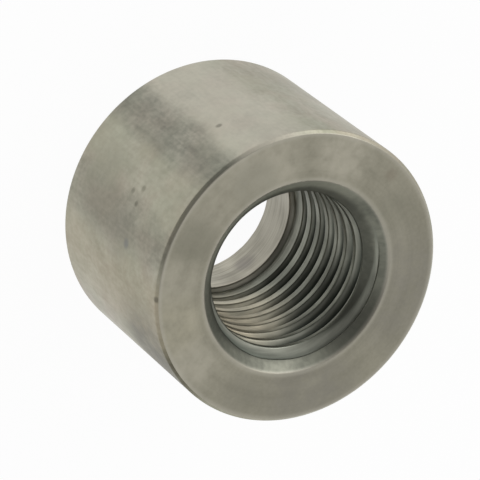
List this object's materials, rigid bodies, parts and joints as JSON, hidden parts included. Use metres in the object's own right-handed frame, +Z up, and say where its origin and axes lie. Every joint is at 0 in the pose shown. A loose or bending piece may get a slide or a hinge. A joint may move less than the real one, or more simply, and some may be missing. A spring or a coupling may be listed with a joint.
{
  "type": "weld bung",
  "caption": "Short round turned steel boss with a straight-through tapped hole, countersunk at its threaded mouth, for welding into a sheet or tube.",
  "frame": {"origin": "centre of the plain end face, on the axis of the hole, where the bung stands", "axes": "+Z up along the axis of the hole, from the plain end to the countersunk threaded mouth; X and Y are free because the body is round"},
  "size_m": [0.0222, 0.0222, 0.0159],
  "materials": {
    "turned_steel": "bare mild steel: drawn bar outside with fine lines along the axis, turned end faces, cut thread in the hole"
  },
  "bodies": {
    "root": {"bung_body": "turned_steel"}
  },
  "joints": []
}
